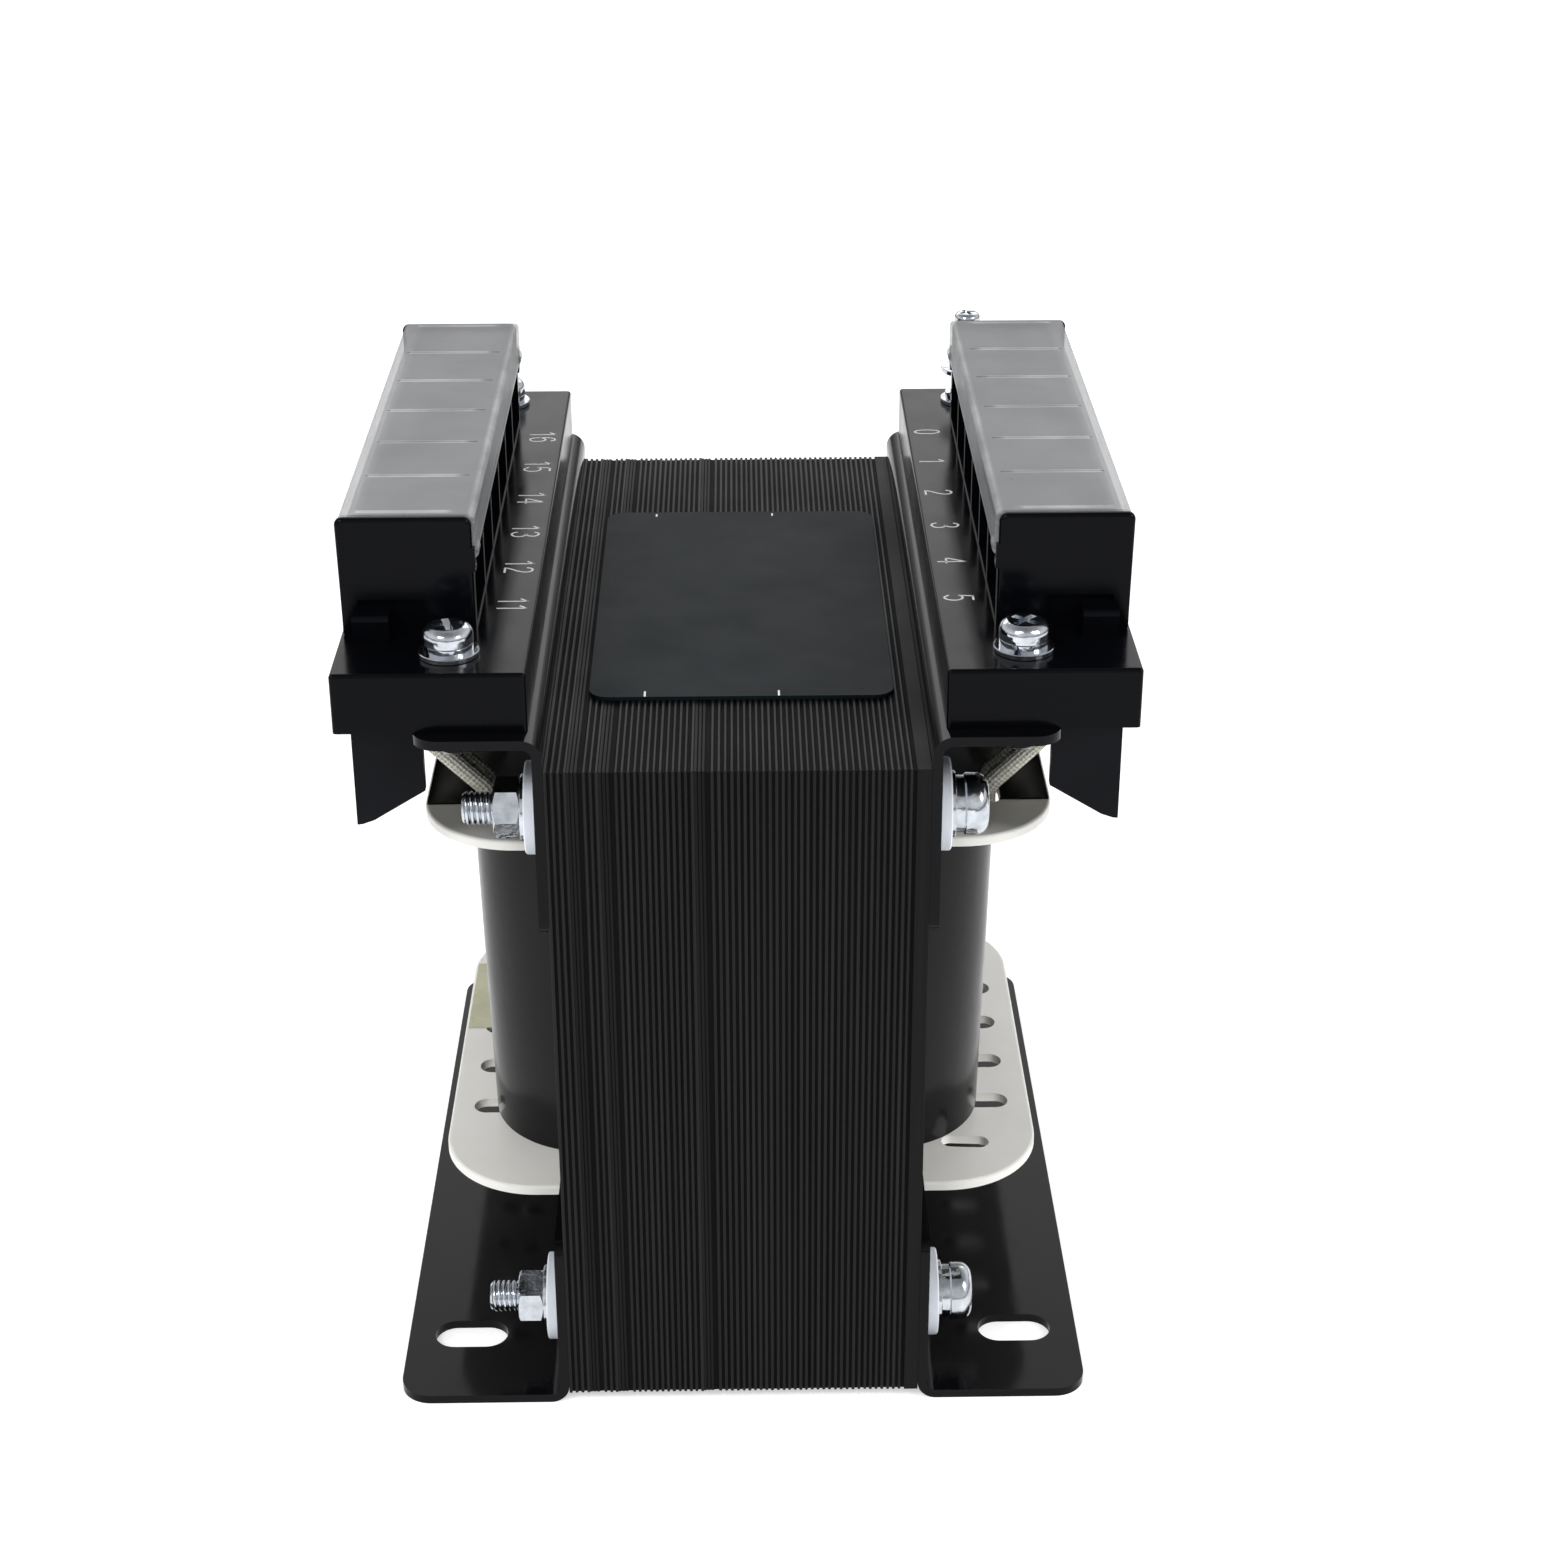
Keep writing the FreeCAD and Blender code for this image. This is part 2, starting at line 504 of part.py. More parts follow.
def smooth(pts, z_end):
    pts = pts[:-1] + [V(pts[-1].x, pts[-1].y, z_end)]
    segs = [(pts[i + 1] - pts[i]) for i in range(len(pts) - 1)]
    es, cur, radii, length = [], pts[0], [], 0.0
    full = [(131.0 - 117.0) if i == len(segs) - 1 else segs[i].Length for i in range(len(segs))]
    for i in range(1, len(pts) - 1):
        d0, d1 = V(segs[i - 1]), V(segs[i])
        d0.normalize()
        d1.normalize()
        turn = d0.getAngle(d1)
        tl = 0.45 * min(full[i - 1], full[i])
        r = tl / math.tan(turn / 2.0)
        a = pts[i] - d0 * tl
        b = pts[i] + d1 * tl
        bis = d1 - d0
        bis.normalize()
        m = pts[i] + bis * (r / math.cos(turn / 2.0) - r)
        es.append(Part.LineSegment(cur, a).toShape())
        arc = Part.Arc(a, m, b).toShape()
        es.append(arc)
        radii.append(r)
        cur = b
    es.append(Part.LineSegment(cur, pts[-1]).toShape())
    w = Part.Wire(es)
    return w, radii, w.Length


def sweep(w, r, start):
    c = Part.Wire([Part.makeCircle(r, start, V(0, 0, 1))])
    return w.makePipeShell([c], True, False)


wires, slvs = [], []
for y0, y1 in zip(LEAD_Y0, CELLS):
    pts = route(y0, y1)
    ww, rr, lw = smooth(pts, 131.0)
    ws, _, ls = smooth(pts, 128.2)
    wire = sweep(ww, WIRE_R, pts[0])
    outer = sweep(ws, SLV_R, pts[0])
    inner = sweep(ws, SLV_RI, pts[0])
    slv = outer.cut(inner)
    wires.append(wire)
    slvs.append(slv)
    print("lead to y %6.1f: length %.1f radii %s wire vol %.2f of %.2f, sleeve vol %.2f of %.2f" % (
        y1, lw, ["%.1f" % r for r in rr], wire.Volume, math.pi * WIRE_R ** 2 * lw,
        slv.Volume, math.pi * (SLV_R ** 2 - SLV_RI ** 2) * ls))
for nm, items in (("lead_wires", wires), ("lead_sleeves", slvs)):
    c = comp(items)
    save(nm + "_right", c)
    save(nm + "_left", mirror_x(c))

# ------------------------------------------------- plate, tape and flange strips
np_ = rrect(23.15, 39.25, 3.0, Z_TOP, Z_TOP + 0.6, 0.65, -2.75)
save("nameplate", np_)
tape = box(-49.1, -42.2, 6.4, 29.4, BOB_Z[1], BOB_Z[1] + 0.15)
save("anchor_tape", tape)
st = box(30.4, 49.2, -31.0, 31.0, BOB_Z[3], BOB_Z[3] + 0.3)
for hole in lead_slots(1, BOB_Z[3] - 1, BOB_Z[3] + 2):
    st = st.cut(hole)
st = st.removeSplitter()
save("flange_strip_right", st)
save("flange_strip_left", mirror_x(st))
print("done")
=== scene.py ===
import bpy
import bmesh
import json
import math
import random
from mathutils import Vector, Matrix


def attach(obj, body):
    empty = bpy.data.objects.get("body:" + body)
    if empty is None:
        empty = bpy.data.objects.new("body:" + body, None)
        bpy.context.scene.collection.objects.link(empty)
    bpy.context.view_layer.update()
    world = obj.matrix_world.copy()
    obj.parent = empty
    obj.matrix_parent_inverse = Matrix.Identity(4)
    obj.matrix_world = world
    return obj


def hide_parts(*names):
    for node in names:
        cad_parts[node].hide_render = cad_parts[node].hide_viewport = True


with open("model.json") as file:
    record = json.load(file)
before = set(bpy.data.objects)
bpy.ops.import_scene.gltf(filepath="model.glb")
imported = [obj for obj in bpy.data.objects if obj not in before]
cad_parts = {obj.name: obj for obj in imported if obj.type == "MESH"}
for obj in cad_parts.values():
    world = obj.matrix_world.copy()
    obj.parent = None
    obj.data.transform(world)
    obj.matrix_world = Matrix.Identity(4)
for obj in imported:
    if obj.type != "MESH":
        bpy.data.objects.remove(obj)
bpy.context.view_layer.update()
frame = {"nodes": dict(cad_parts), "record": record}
NODES = frame["nodes"]


MM = 0.001
ROOT = "root"


# ------------------------------------------------------------------ node tools
class Mat:
    def __init__(self, name):
        self.m = bpy.data.materials.new(name)
        self.m.use_nodes = True
        self.nt = self.m.node_tree
        self.nt.nodes.clear()
        self.out = self.add("ShaderNodeOutputMaterial")
        self.bsdf = self.add("ShaderNodeBsdfPrincipled")
        self.nt.links.new(self.bsdf.outputs[0], self.out.inputs[0])
        tc = self.add("ShaderNodeTexCoord")
        self.obj = tc.outputs["Object"]
        self.uv = tc.outputs["UV"]

    def add(self, kind, **kw):
        n = self.nt.nodes.new(kind)
        for k, v in kw.items():
            setattr(n, k, v)
        return n

    def link(self, a, b):
        self.nt.links.new(a, b)

    def set(self, **kw):
        for k, v in kw.items():
            self.bsdf.inputs[k.replace("_", " ")].default_value = v
        return self

    def mapped(self, scale=(1, 1, 1), rot=(0, 0, 0), src=None):
        mp = self.add("ShaderNodeMapping")
        mp.inputs["Scale"].default_value = scale
        mp.inputs["Rotation"].default_value = rot
        self.link(src or self.obj, mp.inputs["Vector"])
        return mp.outputs[0]

    def noise(self, scale, detail=4.0, rough=0.55, vec=None):
        n = self.add("ShaderNodeTexNoise")
        n.inputs["Scale"].default_value = scale
        n.inputs["Detail"].default_value = detail
        n.inputs["Roughness"].default_value = rough
        self.link(vec or self.obj, n.inputs["Vector"])
        return n.outputs[0]

    def ramp(self, fac, stops):
        r = self.add("ShaderNodeValToRGB")
        e = r.color_ramp.elements
        while len(e) < len(stops):
            e.new(0.5)
        for i, (p, c) in enumerate(stops):
            e[i].position = p
            e[i].color = (c[0], c[1], c[2], 1.0) if isinstance(c, (tuple, list)) else (c, c, c, 1.0)
        self.link(fac, r.inputs[0])
        return r.outputs[0]

    def rng(self, fac, lo, hi, a=0.0, b=1.0):
        r = self.add("ShaderNodeMapRange")
        r.inputs["From Min"].default_value = a
        r.inputs["From Max"].default_value = b
        r.inputs["To Min"].default_value = lo
        r.inputs["To Max"].default_value = hi
        self.link(fac, r.inputs["Value"])
        return r.outputs[0]

    def math(self, op, a, b=None, val=None):
        n = self.add("ShaderNodeMath", operation=op)
        self.link(a, n.inputs[0])
        if b is not None:
            self.link(b, n.inputs[1])
        elif val is not None:
            n.inputs[1].default_value = val
        return n.outputs[0]

    def to(self, sock, name):
        self.link(sock, self.bsdf.inputs[name])

    def bump(self, height, strength=0.2, dist=0.0002, prev=None):
        b = self.add("ShaderNodeBump")
        b.inputs["Strength"].default_value = strength
        b.inputs["Distance"].default_value = dist
        self.link(height, b.inputs["Height"])
        if prev is not None:
            self.link(prev, b.inputs["Normal"])
        self.link(b.outputs[0], self.bsdf.inputs["Normal"])
        return b.outputs[0]


def tone(c, k):
    return tuple(min(1.0, max(0.0, v * k)) for v in c)


def basic(name, color, rough, var=0.12, scale=60.0, rvar=0.06, bump=0.15, bdist=0.00005, bscale=900.0,
          metallic=0.0, **kw):
    m = Mat(name)
    m.set(Metallic=metallic, **kw)
    n = m.noise(scale, 5.0)
    m.to(m.ramp(n, [(0.30, tone(color, 1 - var)), (0.70, tone(color, 1 + var))]), "Base Color")
    n2 = m.noise(scale * 3.1, 3.0)
    m.to(m.rng(n2, rough - rvar, rough + rvar, 0.3, 0.7), "Roughness")
    m.bump(m.noise(bscale, 2.0), bump, bdist)
    return m.m


# ------------------------------------------------------------------- materials
def lamination_mat(name, lo, hi, level, rough):
    """lacquered sheet edges; the grain runs along the sheets, so it is stretched in y and z"""
    m = Mat(name)
    m.set(Specular_IOR_Level=level)
    n = m.noise(1.0, 3.0, 0.6, m.mapped((700.0, 16.0, 11.0)))
    blot = m.noise(30.0, 4.0)
    m.to(m.ramp(n, [(0.30, (lo, lo, lo * 1.03)), (0.72, (hi, hi, hi * 1.01))]), "Base Color")
    m.to(m.rng(blot, rough - 0.07, rough + 0.07, 0.3, 0.7), "Roughness")
    m.bump(m.noise(1.0, 2.0, 0.5, m.mapped((900.0, 40.0, 30.0))), 0.15, 0.00004)
    return m.m


def zinc_mat(name, paint_shade_below_shelf=False):
    """blue zinc; with the flag set, painted shade darkens what lies below the shelf"""
    m = Mat(name)
    m.set(Metallic=1.0)
    n = m.noise(420.0, 4.0)
    big = m.noise(160.0, 2.0)
    if paint_shade_below_shelf:
        sep = m.add("ShaderNodeSeparateXYZ")
        m.link(m.obj, sep.inputs[0])
        # painted shade: the colour goes near black below z 0.1165, under the shelf
        lit = m.math("MULTIPLY", m.rng(n, 0.3, 1.0, 0.3, 0.7), m.rng(sep.outputs[2], 0.0, 1.0, 0.1160, 0.1170))
        m.to(m.ramp(lit, [(0.0, (0.012, 0.012, 0.012)), (0.3, (0.40, 0.43, 0.47)), (1.0, (0.66, 0.69, 0.73))]), "Base Color")
    else:
        m.to(m.ramp(n, [(0.3, (0.40, 0.43, 0.47)), (0.7, (0.66, 0.69, 0.73))]), "Base Color")
    m.to(m.rng(big, 0.08, 0.24, 0.3, 0.7), "Roughness")
    b = m.bump(m.noise(430.0, 2.0), 0.7, 0.00022)
    m.bump(m.noise(2200.0, 3.0), 0.25, 0.00002, b)
    return m.m


def cover_mat():
    """clear plastic, slightly milky; painted highlight along the rib lines, the top's inner edge and in streaks on the
    side skirt; more opaque, and so lighter, towards its lower edges
    """
    m = Mat("frosted_clear")
    n = m.noise(70.0, 4.0)
    f = m.noise(120.0, 2.0)
    streak = m.noise(1.0, 4.0, 0.6, m.mapped((300.0, 60.0, 900.0)))
    m.set(Metallic=0.0, IOR=1.46, Specular_IOR_Level=0.37)
    sep = m.add("ShaderNodeSeparateXYZ")
    m.link(m.obj, sep.inputs[0])
    x = m.math("ABSOLUTE", sep.outputs[0])
    # distance from the nearest rib line, in y
    t = m.math("MULTIPLY", sep.outputs[1], val=1.0 / 0.0152)
    t = m.math("ABSOLUTE", m.math("SUBTRACT", m.math("FRACT", m.math("ADD", t, val=0.5)), val=0.5))
    # painted highlight: a light line along each rib of the top
    line = m.rng(t, 1.0, 0.0, 0.030, 0.052)
    flat = m.rng(sep.outputs[2], 0.0, 1.0, 0.1440, 0.1445)
    line = m.math("MULTIPLY", line, flat)
    line = m.math("MULTIPLY", line, m.rng(x, 1.0, 0.0, 0.0548, 0.0554))
    line = m.math("MULTIPLY", line, m.rng(x, 0.0, 1.0, 0.0402, 0.0420))
    # painted highlight along the inner edge of the top
    inner_edge_highlight = m.math("MULTIPLY", flat, m.rng(x, 1.0, 0.0, 0.0384, 0.0390))
    line = m.math("MAXIMUM", line, m.math("MULTIPLY", inner_edge_highlight, val=0.9))
    outer = m.math("MULTIPLY", m.rng(x, 0.0, 1.0, 0.0540, 0.0552), flat)
    low = m.rng(sep.outputs[2], 1.0, 0.0, 0.1386, 0.1390)
    side = m.rng(sep.outputs[2], 1.0, 0.0, 0.1436, 0.1443)
    a = m.math("ADD", m.math("MULTIPLY", line, val=0.12), m.math("MULTIPLY", outer, val=0.06))
    a = m.math("ADD", a, m.math("MULTIPLY", low, val=0.35))
    # painted highlight streaks on the side skirt, laid in as opacity
    a = m.math("ADD", a, m.math("MULTIPLY", m.math("MULTIPLY", side, m.rng(streak, 0.0, 1.0, 0.55, 0.75)), val=0.15))
    a = m.math("ADD", a, m.rng(n, 0.45, 0.49, 0.3, 0.7))
    # painted highlight: the rib lines and the inner edge also lighten the base colour
    tone_and_rib_highlight = m.math("ADD", m.rng(n, 0.0, 0.5, 0.3, 0.7), m.math("MULTIPLY", line, val=0.5))
    m.to(m.ramp(tone_and_rib_highlight, [(0.0, (0.31, 0.317, 0.328)), (0.5, (0.35, 0.357, 0.366)), (1.0, (0.72, 0.73, 0.74))]), "Base Color")
    m.to(a, "Alpha")
    m.to(m.rng(f, 0.29, 0.33, 0.3, 0.7), "Roughness")
    m.bump(m.noise(60.0, 1.0), 0.03, 0.00006)
    return m.m


def sleeve_mat():
    m = Mat("woven_sleeve")
    m.set(Specular_IOR_Level=0.2)
    m.set(Sheen_Weight=0.15)
    # UV: u runs along the lead in metres, v once round it
    a = m.mapped((1500.0, 14.0, 1.0), src=m.uv)
    sep = m.add("ShaderNodeSeparateXYZ")
    m.link(a, sep.inputs[0])
    s = m.math("ADD", sep.outputs[0], sep.outputs[1])
    d = m.math("SUBTRACT", sep.outputs[0], sep.outputs[1])
    w1 = m.math("SINE", m.math("MULTIPLY", s, val=3.14159))
    w2 = m.math("SINE", m.math("MULTIPLY", d, val=3.14159))
    w = m.math("MULTIPLY", w1, w2)
    fine = m.noise(2600.0, 3.0)
    mixw = m.math("ADD", m.math("MULTIPLY", w, val=0.5), m.math("MULTIPLY", fine, val=0.8))
    m.to(m.ramp(m.rng(mixw, 0.0, 1.0, -0.35, 0.9), [(0.1, (0.30, 0.285, 0.22)), (0.5, (0.78, 0.76, 0.65)),
                                                     (0.9, (0.97, 0.96, 0.87))]), "Base Color")
    m.to(m.rng(fine, 0.75, 0.95, 0.3, 0.7), "Roughness")
    m.bump(w, 0.8, 0.00015)
    return m.m


def bobbin_mat():
    m = Mat("cream_bobbin")
    n = m.noise(45.0, 4.0)
    m.set(Specular_IOR_Level=0.4)
    m.to(m.ramp(n, [(0.3, (0.86, 0.85, 0.80)), (0.7, (0.94, 0.93, 0.88))]), "Base Color")
    m.to(m.rng(m.noise(150.0, 3.0), 0.38, 0.52, 0.3, 0.7), "Roughness")
    m.bump(m.noise(700.0, 3.0), 0.12, 0.00006)
    return m.m


def tape_mat():
    m = Mat("yellow_tape")
    n = m.noise(110.0, 4.0)
    m.to(m.ramp(n, [(0.3, (0.52, 0.51, 0.30)), (0.7, (0.70, 0.69, 0.47))]), "Base Color")
    m.to(m.rng(n, 0.22, 0.36, 0.3, 0.7), "Roughness")
    m.set(Alpha=0.85)
    m.bump(m.noise(160.0, 2.0), 0.3, 0.0001)
    return m.m


def wrap_mat():
    m = Mat("black_wrap")
    m.set(Specular_IOR_Level=0.185)
    n = m.noise(40.0, 3.0)
    m.to(m.ramp(n, [(0.3, (0.0040, 0.0040, 0.0050)), (0.7, (0.0062, 0.0062, 0.0074))]), "Base Color")
    m.to(m.rng(m.noise(90.0, 3.0), 0.15, 0.24, 0.3, 0.7), "Roughness")
    v = m.mapped((8.0, 8.0, 60.0))
    m.bump(m.noise(4.0, 3.0, 0.5, v), 0.10, 0.0002)
    return m.m


def housing_mat():
    """glossy black moulding; painted light makes the thin guard below lighter, for the floor light it takes"""
    m = Mat("housing_plastic")
    m.set(Specular_IOR_Level=0.072)
    sep = m.add("ShaderNodeSeparateXYZ")
    m.link(m.obj, sep.inputs[0])
    # painted light: the base colour is lifted below z 0.1176, on the guard
    k = m.math("ADD", m.rng(m.noise(40.0, 5.0), 0.0, 0.35, 0.3, 0.7), m.rng(sep.outputs[2], 0.55, 0.0, 0.1080, 0.1176))
    m.to(m.ramp(k, [(0.0, (0.0015, 0.0017, 0.0025)), (0.4, (0.0022, 0.0025, 0.0038)), (1.0, (0.0082, 0.0086, 0.0116))]),
         "Base Color")
    m.to(m.rng(m.noise(124.0, 3.0), 0.13, 0.21, 0.3, 0.7), "Roughness")
    m.bump(m.noise(380.0, 2.0), 0.06, 0.00006)
    return m.m


def winding_mat():
    m = Mat("winding_layers")
    m.set(Metallic=0.6)
    w = m.add("ShaderNodeTexWave", wave_type="BANDS", bands_direction="Z")
    w.inputs["Scale"].default_value = 320.0
    w.inputs["Distortion"].default_value = 0.4
    m.link(m.obj, w.inputs["Vector"])
    m.to(m.ramp(w.outputs[0], [(0.2, (0.16, 0.045, 0.018)), (0.8, (0.50, 0.17, 0.06))]), "Base Color")
    m.to(m.rng(m.noise(500.0), 0.25, 0.4, 0.3, 0.7), "Roughness")
    m.bump(w.outputs[0], 0.5, 0.0002)
    return m.m


MATS = {
    "core_steel": lamination_mat("lamination_crest", 0.0080, 0.0155, 0.11, 0.42),
    "bobbin_plastic": bobbin_mat(),
    "copper": winding_mat(),
    "insulation_paper": basic("insulation_paper", (0.55, 0.47, 0.33), 0.7),
    "wrap_black": wrap_mat(),
    "bracket_black": basic("bracket_coat", (0.0030, 0.0031, 0.0040), 0.12, 0.15, 45.0, 0.03, 0.07, 0.00006, 420.0,
                           Specular_IOR_Level=0.112),
    "zinc_steel": zinc_mat("blue_zinc"),
    "insulator_white": basic("insulator", (0.79, 0.83, 0.90), 0.42, 0.06, 160.0, 0.06, 0.1, 0.00003, 900.0),
    "housing_plastic": housing_mat(),
    "cover_clear": cover_mat(),
    "terminal_brass": basic("terminal_metal", (0.62, 0.56, 0.42), 0.28, 0.08, 200.0, 0.05, 0.15, 0.00003, 900.0,
                            metallic=1.0),
    "wire_copper": basic("tinned_wire", (0.60, 0.42, 0.30), 0.3, 0.1, 300.0, 0.05, 0.15, 0.00003, 1200.0, metallic=1.0),
    "sleeve_woven": sleeve_mat(),
    "plate_grey": basic("plate_slate", (0.0055, 0.0095, 0.0120), 0.55, 0.025, 30.0, 0.03, 0.05, 0.00003, 1500.0,
                        Specular_IOR_Level=0.095),
    "tape_yellow": tape_mat(),
}
CREST = MATS["core_steel"]
# painted shade: the flat packs, and the gaps between sheets darker still, get darker colours for their recess
FLAT_SHADED = lamination_mat("lamination_flat_shaded", 0.0042, 0.0080, 0.09, 0.48)
GAP_SHADED = lamination_mat("lamination_gap_shaded", 0.0030, 0.0052, 0.04, 0.60)
SLOT_OF = {s["node"]: s["material_slot"] for s in frame["record"]["subparts"]}
ZINC_PAINTED_SHADE = zinc_mat("blue_zinc_painted_shade", True)
for name, o in NODES.items():
    o.data.materials.clear()
    # housing_screws get the zinc with painted shade under the shelf
    o.data.materials.append(ZINC_PAINTED_SHADE if name == "housing_screws" else MATS[SLOT_OF[name]])


# ----------------------------------------------------------------- mesh helpers
def new_obj(name, verts, faces, mat, smooth=False, uvs=None, mats=None, fmat=None):
    me = bpy.data.meshes.new(name)
    me.from_pydata([tuple(v) for v in verts], [], faces)
    me.materials.append(mat)
    if mats:
        for k in mats:
            me.materials.append(k)
    if fmat:
        for i, k in enumerate(fmat):
            me.polygons[i].material_index = k
    if smooth:
        me.polygons.foreach_set("use_smooth", [True] * len(me.polygons))
    if uvs is not None:
        lay = me.uv_layers.new(name="UVMap")
        k = 0
        for p in me.polygons:
            for li in p.loop_indices:
                lay.data[li].uv = uvs[k]
                k += 1
    me.update()
    o = bpy.data.objects.new(name, me)
    bpy.context.scene.collection.objects.link(o)
    return o


# ------------------------------------------------------------ laminated core
A = 22.2
Z0 = 1.8
CYH = 66.6
SX = 28.0
Z_E = Z0 + 4 * A
Z_TOP = Z0 + 5 * A


def slab(section, x0, x1, c, mat, verts, faces, fmat):
    """a sheet or a pack of sheets from x0 to x1 with its outer edges broken by c"""
    rings = []
    for x, e in ((x0, c), (x0 + c, 0.0), (x1 - c, 0.0), (x1, c)):
        pts = section(e)
        rings.append([len(verts) + i for i in range(len(pts))])
        verts.extend([(x * MM, y * MM, z * MM) for y, z in pts])
    n = len(rings[0])
    faces.append(rings[0][::-1])
    faces.append(list(rings[-1]))
    fmat.extend([mat, mat])
    for r0, r1 in zip(rings, rings[1:]):
        for i in range(n):
            j = (i + 1) % n
            faces.append([r0[i], r0[j], r1[j], r1[i]])
            fmat.append(mat)


def build_core():
    rnd = random.Random(11)
    packs = []                                  # x0, x1, depth front, depth top, edge, material
    x = -SX
    packs.append((x, x + 0.5, 0.0, 0.0, 0.06, 0))
    x += 0.5
    end = SX - 2.2
    while x < end - 0.95:
        if rnd.random() < 0.06 and x < end - 2.6:
            # a tight pack whose sheets stand level
            for k in range(rnd.choice([2, 3, 3])):
                w = rnd.uniform(0.40, 0.46)
                packs.append((x, x + w, 0.10 + rnd.uniform(0, 0.05), 0.08 + rnd.uniform(0, 0.05), 0.04, 1))
                x += w
                packs.append((x, x + 0.13, 0.24, 0.22, 0.0, 2))
                x += 0.13
            packs.append((x, x + 0.22, 0.30, 0.28, 0.0, 2))
            x += 0.22
            continue
        w, g = rnd.uniform(0.47, 0.53), rnd.uniform(0.39, 0.46)
        packs.append((x, x + g, 0.26 + rnd.uniform(0, 0.08), 0.24 + rnd.uniform(0, 0.08), 0.0, 2))
        x += g
        packs.append((x, x + w, rnd.uniform(0, 0.05), rnd.uniform(0, 0.05), 0.11, 0))
        x += w
    packs.append((x, end, 0.34, 0.30, 0.0, 2))
    packs.append((end, SX, 0.0, 0.0, 0.05, 1))
    ev, ef, em, iv, jf, im = [], [], [], [], [], []
    for x0, x1, d, dt, c, mat in packs:
        def e_section(e, d=d, dt=dt):
            yo, zb = CYH - d - e, Z0 + min(dt, 0.12) + e
            return [(-yo, zb), (yo, zb), (yo, Z_E), (2 * A, Z_E), (2 * A, Z0 + A), (A, Z0 + A), (A, Z_E), (-A, Z_E),
                    (-A, Z0 + A), (-2 * A, Z0 + A), (-2 * A, Z_E), (-yo, Z_E)]

        def i_section(e, d=d, dt=dt):
            yo, zt = CYH - d - e, Z_TOP - dt - e
            return [(-yo, Z_E), (yo, Z_E), (yo, zt), (-yo, zt)]
        slab(e_section, x0, x1, c, mat, ev, ef, em)
        slab(i_section, x0, x1, c, mat, iv, jf, im)
    # material 1 and 2 carry the painted shade of the recessed packs and gaps
    a = new_obj("core_e_laminations", ev, ef, CREST, mats=[FLAT_SHADED, GAP_SHADED], fmat=em)
    b = new_obj("core_i_laminations", iv, jf, CREST, mats=[FLAT_SHADED, GAP_SHADED], fmat=im)
    for o, nd in ((a, "core_e_stack"), (b, "core_i_stack")):
        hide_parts(nd)
        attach(o, ROOT)


build_core()


# ----------------------------------------------------------------- lead sleeves
LEAD_X, LEAD_X0 = 51.5, 39.4
LEAD_Y0 = [-30.0, -26.4, -5.0, 5.0, 26.4, 30.0]
CELLS = [(-2.5 + i) * 15.2 for i in range(6)]
Z_FL = 88.4
Z_SLV = 128.2


def centre_line(y0, y1, step=0.25):
    pts = [Vector((LEAD_X0, y0, Z_FL)), Vector((LEAD_X0, y0, 92.0)), Vector((LEAD_X, y0, 104.0)),
           Vector((LEAD_X, y1, 117.0)), Vector((LEAD_X, y1, Z_SLV))]
    full = [(pts[i + 1] - pts[i]).length for i in range(3)] + [14.0]
    out = [pts[0].copy()]

    def line(a, b):
        n = max(2, int((b - a).length / step))
        for i in range(1, n + 1):
            out.append(a.lerp(b, i / n))
    cur = pts[0]
    for i in (1, 2, 3):
        d0 = (pts[i] - pts[i - 1]).normalized()
        d1 = (pts[i + 1] - pts[i]).normalized()
        turn = d0.angle(d1)
        tl = 0.45 * min(full[i - 1], full[i])
        r = tl / math.tan(turn / 2)
        a = pts[i] - d0 * tl
        b = pts[i] + d1 * tl
        line(cur, a)
        c = pts[i] + (d1 - d0).normalized() * (r / math.cos(turn / 2))
        ax = d0.cross(d1).normalized()
        n = max(4, int(r * turn / step))
        for k in range(1, n + 1):
            q = (a - c)
            q = Matrix.Rotation(turn * k / n, 3, ax) @ q
            out.append(c + q)
        cur = b
    line(cur, pts[4])
    return out


